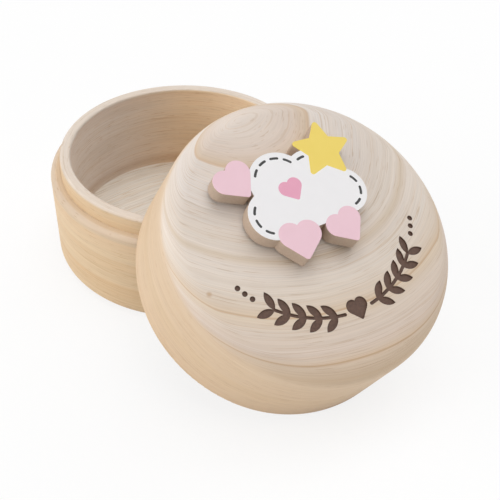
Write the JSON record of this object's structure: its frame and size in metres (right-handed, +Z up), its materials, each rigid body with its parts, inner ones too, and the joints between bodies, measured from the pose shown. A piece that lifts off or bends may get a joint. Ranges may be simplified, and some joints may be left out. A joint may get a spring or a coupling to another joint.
{
  "type": "baby tooth box",
  "caption": "Small round turned-wood keepsake box, cup open, its deep domed lid leaning on the rim with a printed cut-out board on top.",
  "frame": {"origin": "middle of the cup's flat underside, on the table", "axes": "+Z up along the cup's axis; the lid leans towards -Y, and +X is to the right of the upright motif"},
  "size_m": [0.07, 0.1202, 0.058],
  "materials": {
    "cup_wood": "fine-sanded pale hardwood",
    "lid_wood": "fine-sanded pale hardwood with a burnt engraving",
    "glue": "set clear glue",
    "board_wood": "bare cut edge",
    "white_ink": "satin print",
    "yellow_ink": "satin print",
    "pink_ink": "satin print",
    "rose_ink": "satin print",
    "black_ink": "satin print"
  },
  "bodies": {
    "base": {"cup": "cup_wood"},
    "lid": {"lid": "lid_wood", "glue_spot": "glue", "cloud_board": "board_wood", "cloud_print": "white_ink", "star_print": "yellow_ink", "heart_print": "pink_ink", "small_heart_print": "rose_ink", "stitch_print": "black_ink"}
  },
  "joints": [
    {"name": "lid_lift", "type": "slide", "parent": "base", "child": "lid", "axis": [0, 0, 1], "range_m": [0, 0.06]}
  ]
}
